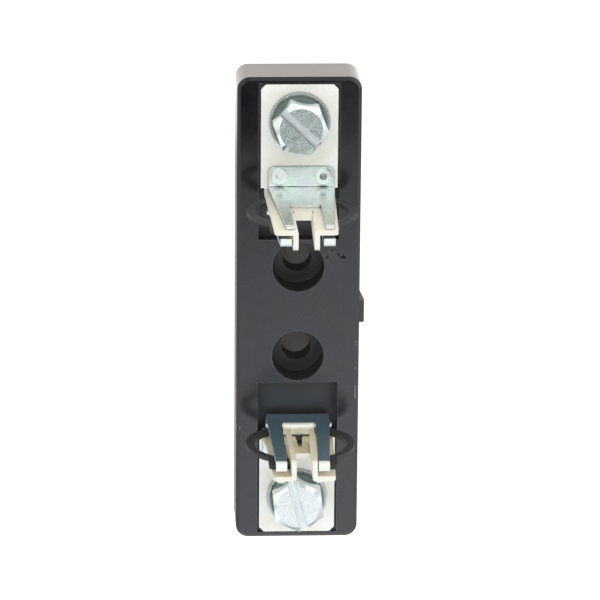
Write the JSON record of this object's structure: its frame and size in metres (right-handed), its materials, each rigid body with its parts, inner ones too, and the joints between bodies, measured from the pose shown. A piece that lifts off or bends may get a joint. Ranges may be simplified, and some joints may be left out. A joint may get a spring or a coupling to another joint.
{
  "type": "fuse base",
  "caption": "Single pole base for blade type fuse links: black moulding, plated spring jaws with clamping rings, bolt terminals and counterbored mounting holes.",
  "frame": {"origin": "centre of the two mounting holes, on the back face", "axes": "+Z from the back face towards the jaws, +Y along the base to the upper end in the picture, +X across it to the side with the lug"},
  "size_m": [0.0343, 0.129, 0.0557],
  "materials": {
    "thermoset": "moulded black thermoset, satin",
    "silvered_copper": "copper sheet, silver plated, warm white",
    "zinc_spring": "spring steel, bright zinc plated",
    "black_spring": "spring steel, phosphated black and oiled",
    "zinc_rivet": "steel, zinc plated",
    "zinc_bolt": "steel, bright zinc plated, bluish",
    "zinc_washer": "steel, bright zinc plated",
    "zinc_nut": "steel, bright zinc plated"
  },
  "bodies": {
    "base": {"base_moulding": "thermoset", "upper_contact": "silvered_copper", "upper_back_spring": "zinc_spring", "upper_front_spring": "zinc_spring", "upper_clamp_ring": "black_spring", "upper_rivet_left": "zinc_rivet", "upper_rivet_right": "zinc_rivet", "upper_nut": "zinc_nut", "lower_contact": "silvered_copper", "lower_back_spring": "zinc_spring", "lower_front_spring": "zinc_spring", "lower_clamp_ring": "black_spring", "lower_rivet_left": "zinc_rivet", "lower_rivet_right": "zinc_rivet", "lower_nut": "zinc_nut"},
    "upper_washers": {"upper_plain_washer": "zinc_washer", "upper_spring_washer": "black_spring"},
    "upper_bolt": {"upper_terminal_bolt": "zinc_bolt"},
    "lower_washers": {"lower_plain_washer": "zinc_washer", "lower_spring_washer": "black_spring"},
    "lower_bolt": {"lower_terminal_bolt": "zinc_bolt"}
  },
  "joints": [
    {"name": "upper_bolt_lift", "type": "slide", "parent": "base", "child": "upper_washers", "axis": [0, 0, 1], "range_m": [0, 0.0075]},
    {"name": "upper_bolt_turn", "type": "hinge", "parent": "upper_washers", "child": "upper_bolt", "pos_m": [0, 0.0526, 0.0163], "axis": [0, 0, 1], "range_deg": [0, 2160]},
    {"name": "lower_bolt_lift", "type": "slide", "parent": "base", "child": "lower_washers", "axis": [0, 0, 1], "range_m": [0, 0.0075]},
    {"name": "lower_bolt_turn", "type": "hinge", "parent": "lower_washers", "child": "lower_bolt", "pos_m": [0, -0.0526, 0.0163], "axis": [0, 0, 1], "range_deg": [0, 2160]}
  ],
  "couplings": [
    {"joint": "upper_bolt_turn", "follows": "upper_bolt_lift", "rad_per_m": 5026.5},
    {"joint": "lower_bolt_turn", "follows": "lower_bolt_lift", "rad_per_m": 5026.5}
  ]
}
